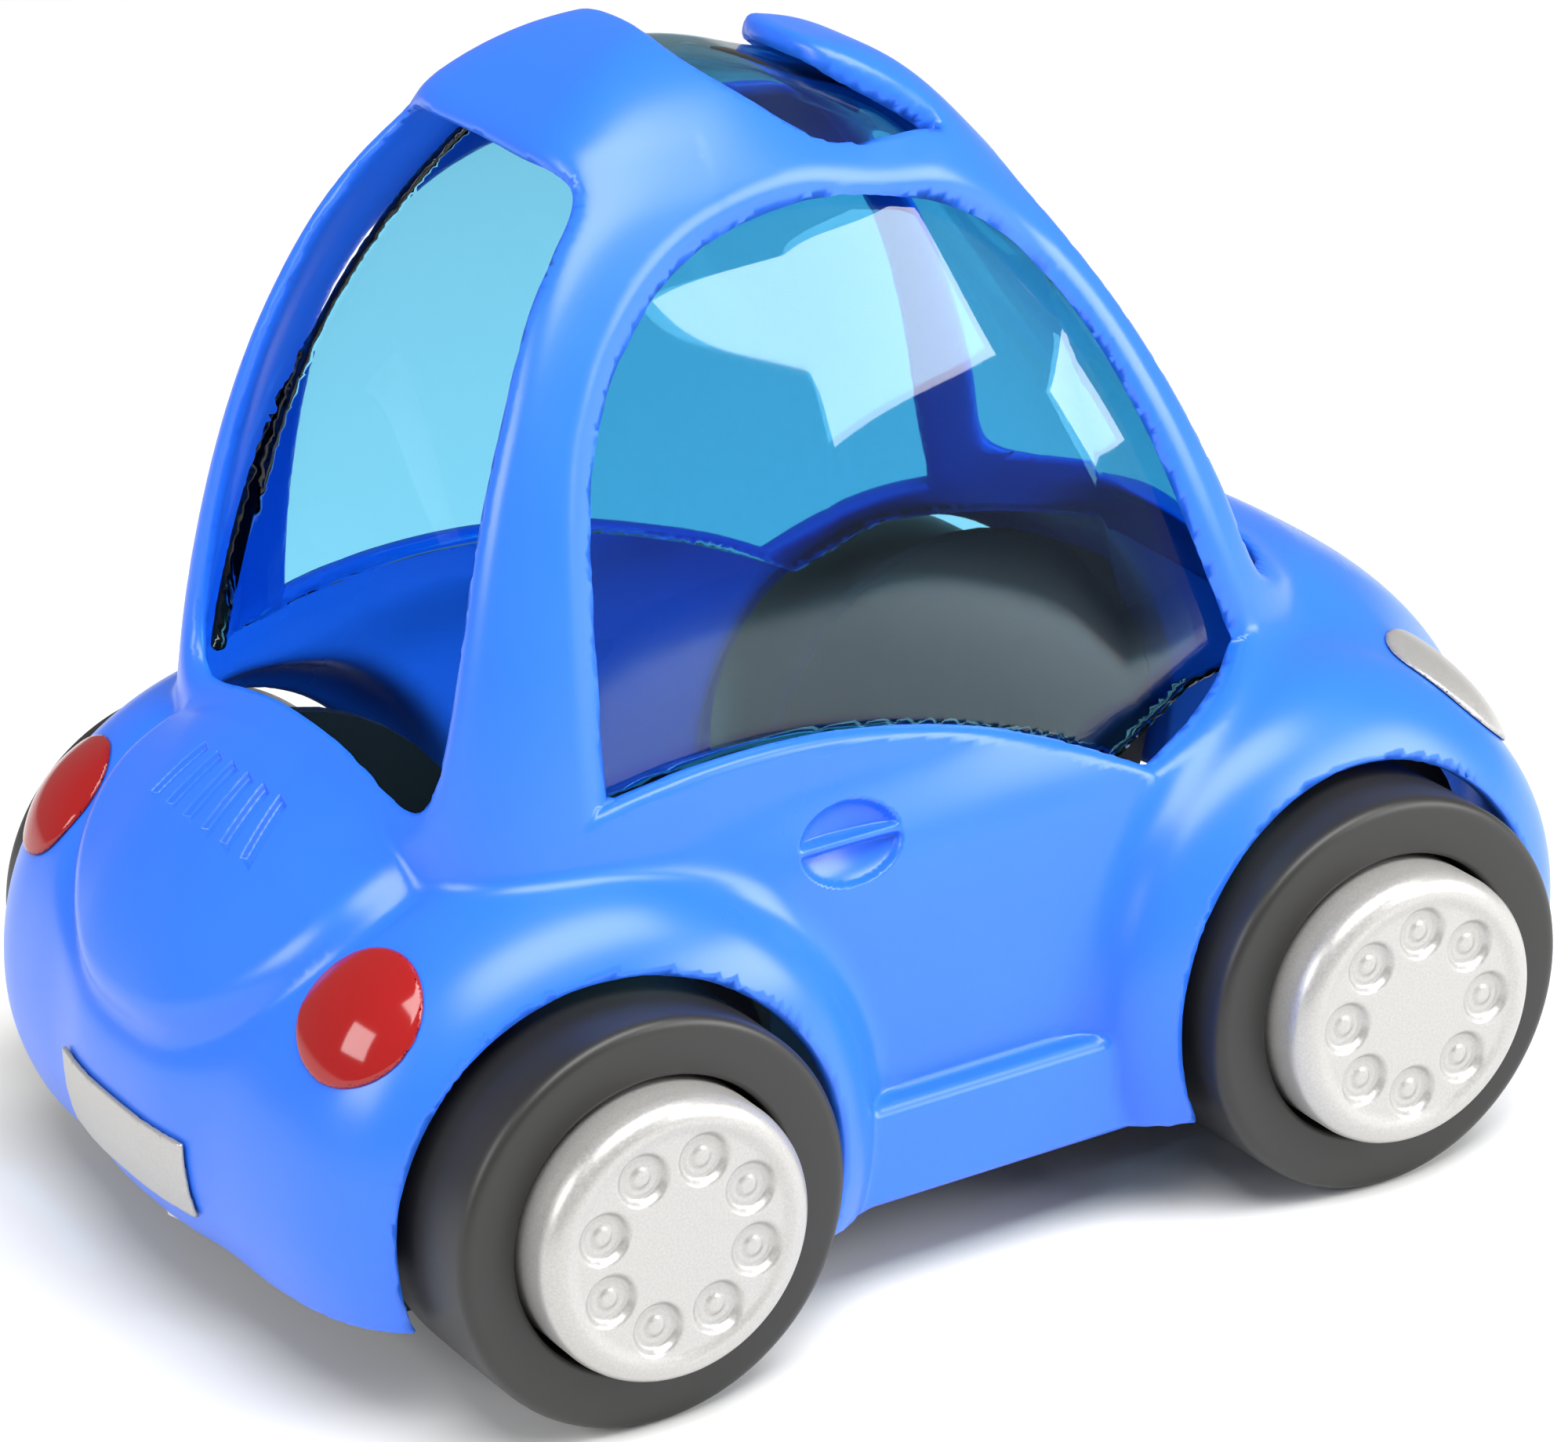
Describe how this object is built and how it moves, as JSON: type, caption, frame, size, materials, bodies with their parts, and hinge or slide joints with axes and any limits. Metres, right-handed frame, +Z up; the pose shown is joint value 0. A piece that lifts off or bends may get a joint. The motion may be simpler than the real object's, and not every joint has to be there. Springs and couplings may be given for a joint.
{
  "type": "pull back toy car",
  "caption": "Small rounded toy car with a blue moulded body shell, a tinted window canopy, chunky black tyres on silver hubs and a pull back clockwork motor.",
  "frame": {"origin": "on the ground, under the middle of the car's bounding box", "axes": "-Y to the front of the car, +X to the car's left side, +Z up"},
  "size_m": [0.1002, 0.1412, 0.1093],
  "materials": {
    "shell_blue": "satin",
    "canopy_tint": "clear tinted gloss",
    "chassis_black": "satin",
    "motor_case": "satin",
    "tyre_black": "satin",
    "silver_plastic": "metallic satin",
    "lamp_red": "gloss",
    "gear_plastic": "satin",
    "spring_steel": "satin",
    "steel": "satin"
  },
  "bodies": {
    "car_body": {"body_shell": "shell_blue", "window_canopy": "canopy_tint", "chassis": "chassis_black", "number_plate": "silver_plastic", "headlight_left": "silver_plastic", "headlight_right": "silver_plastic", "taillight_left": "lamp_red", "taillight_right": "lamp_red", "mainspring": "spring_steel", "layshaft_pin": "steel", "arbor_pin": "steel", "motor_case_left": "motor_case", "motor_case_right": "motor_case", "body_screw_front": "steel", "body_screw_rear": "steel", "motor_screw_left": "steel", "motor_screw_right": "steel"},
    "rear_wheels": {"rear_axle": "steel", "axle_pinion": "gear_plastic", "tyre_rear_left": "tyre_black", "tyre_rear_right": "tyre_black", "hub_rear_left": "silver_plastic", "hub_rear_right": "silver_plastic"},
    "front_wheels": {"front_axle": "steel", "tyre_front_left": "tyre_black", "tyre_front_right": "tyre_black", "hub_front_left": "silver_plastic", "hub_front_right": "silver_plastic"},
    "layshaft": {"layshaft_gear": "gear_plastic"},
    "winding_gear": {"spring_gear": "gear_plastic"}
  },
  "joints": [
    {"name": "rear_axle_spin", "type": "hinge", "parent": "car_body", "child": "rear_wheels", "pos_m": [0, 0.041, 0.019], "axis": [1, 0, 0], "continuous": true},
    {"name": "front_axle_spin", "type": "hinge", "parent": "car_body", "child": "front_wheels", "pos_m": [0, -0.0356, 0.019], "axis": [1, 0, 0], "continuous": true},
    {"name": "layshaft_spin", "type": "hinge", "parent": "car_body", "child": "layshaft", "pos_m": [0, 0.03055, 0.02005], "axis": [1, 0, 0], "continuous": true},
    {"name": "spring_gear_spin", "type": "hinge", "parent": "car_body", "child": "winding_gear", "pos_m": [0, 0.01865, 0.02005], "axis": [1, 0, 0], "continuous": true}
  ],
  "couplings": [
    {"joint": "layshaft_spin", "follows": "rear_axle_spin", "ratio": -0.5},
    {"joint": "spring_gear_spin", "follows": "rear_axle_spin", "ratio": 0.20833}
  ]
}
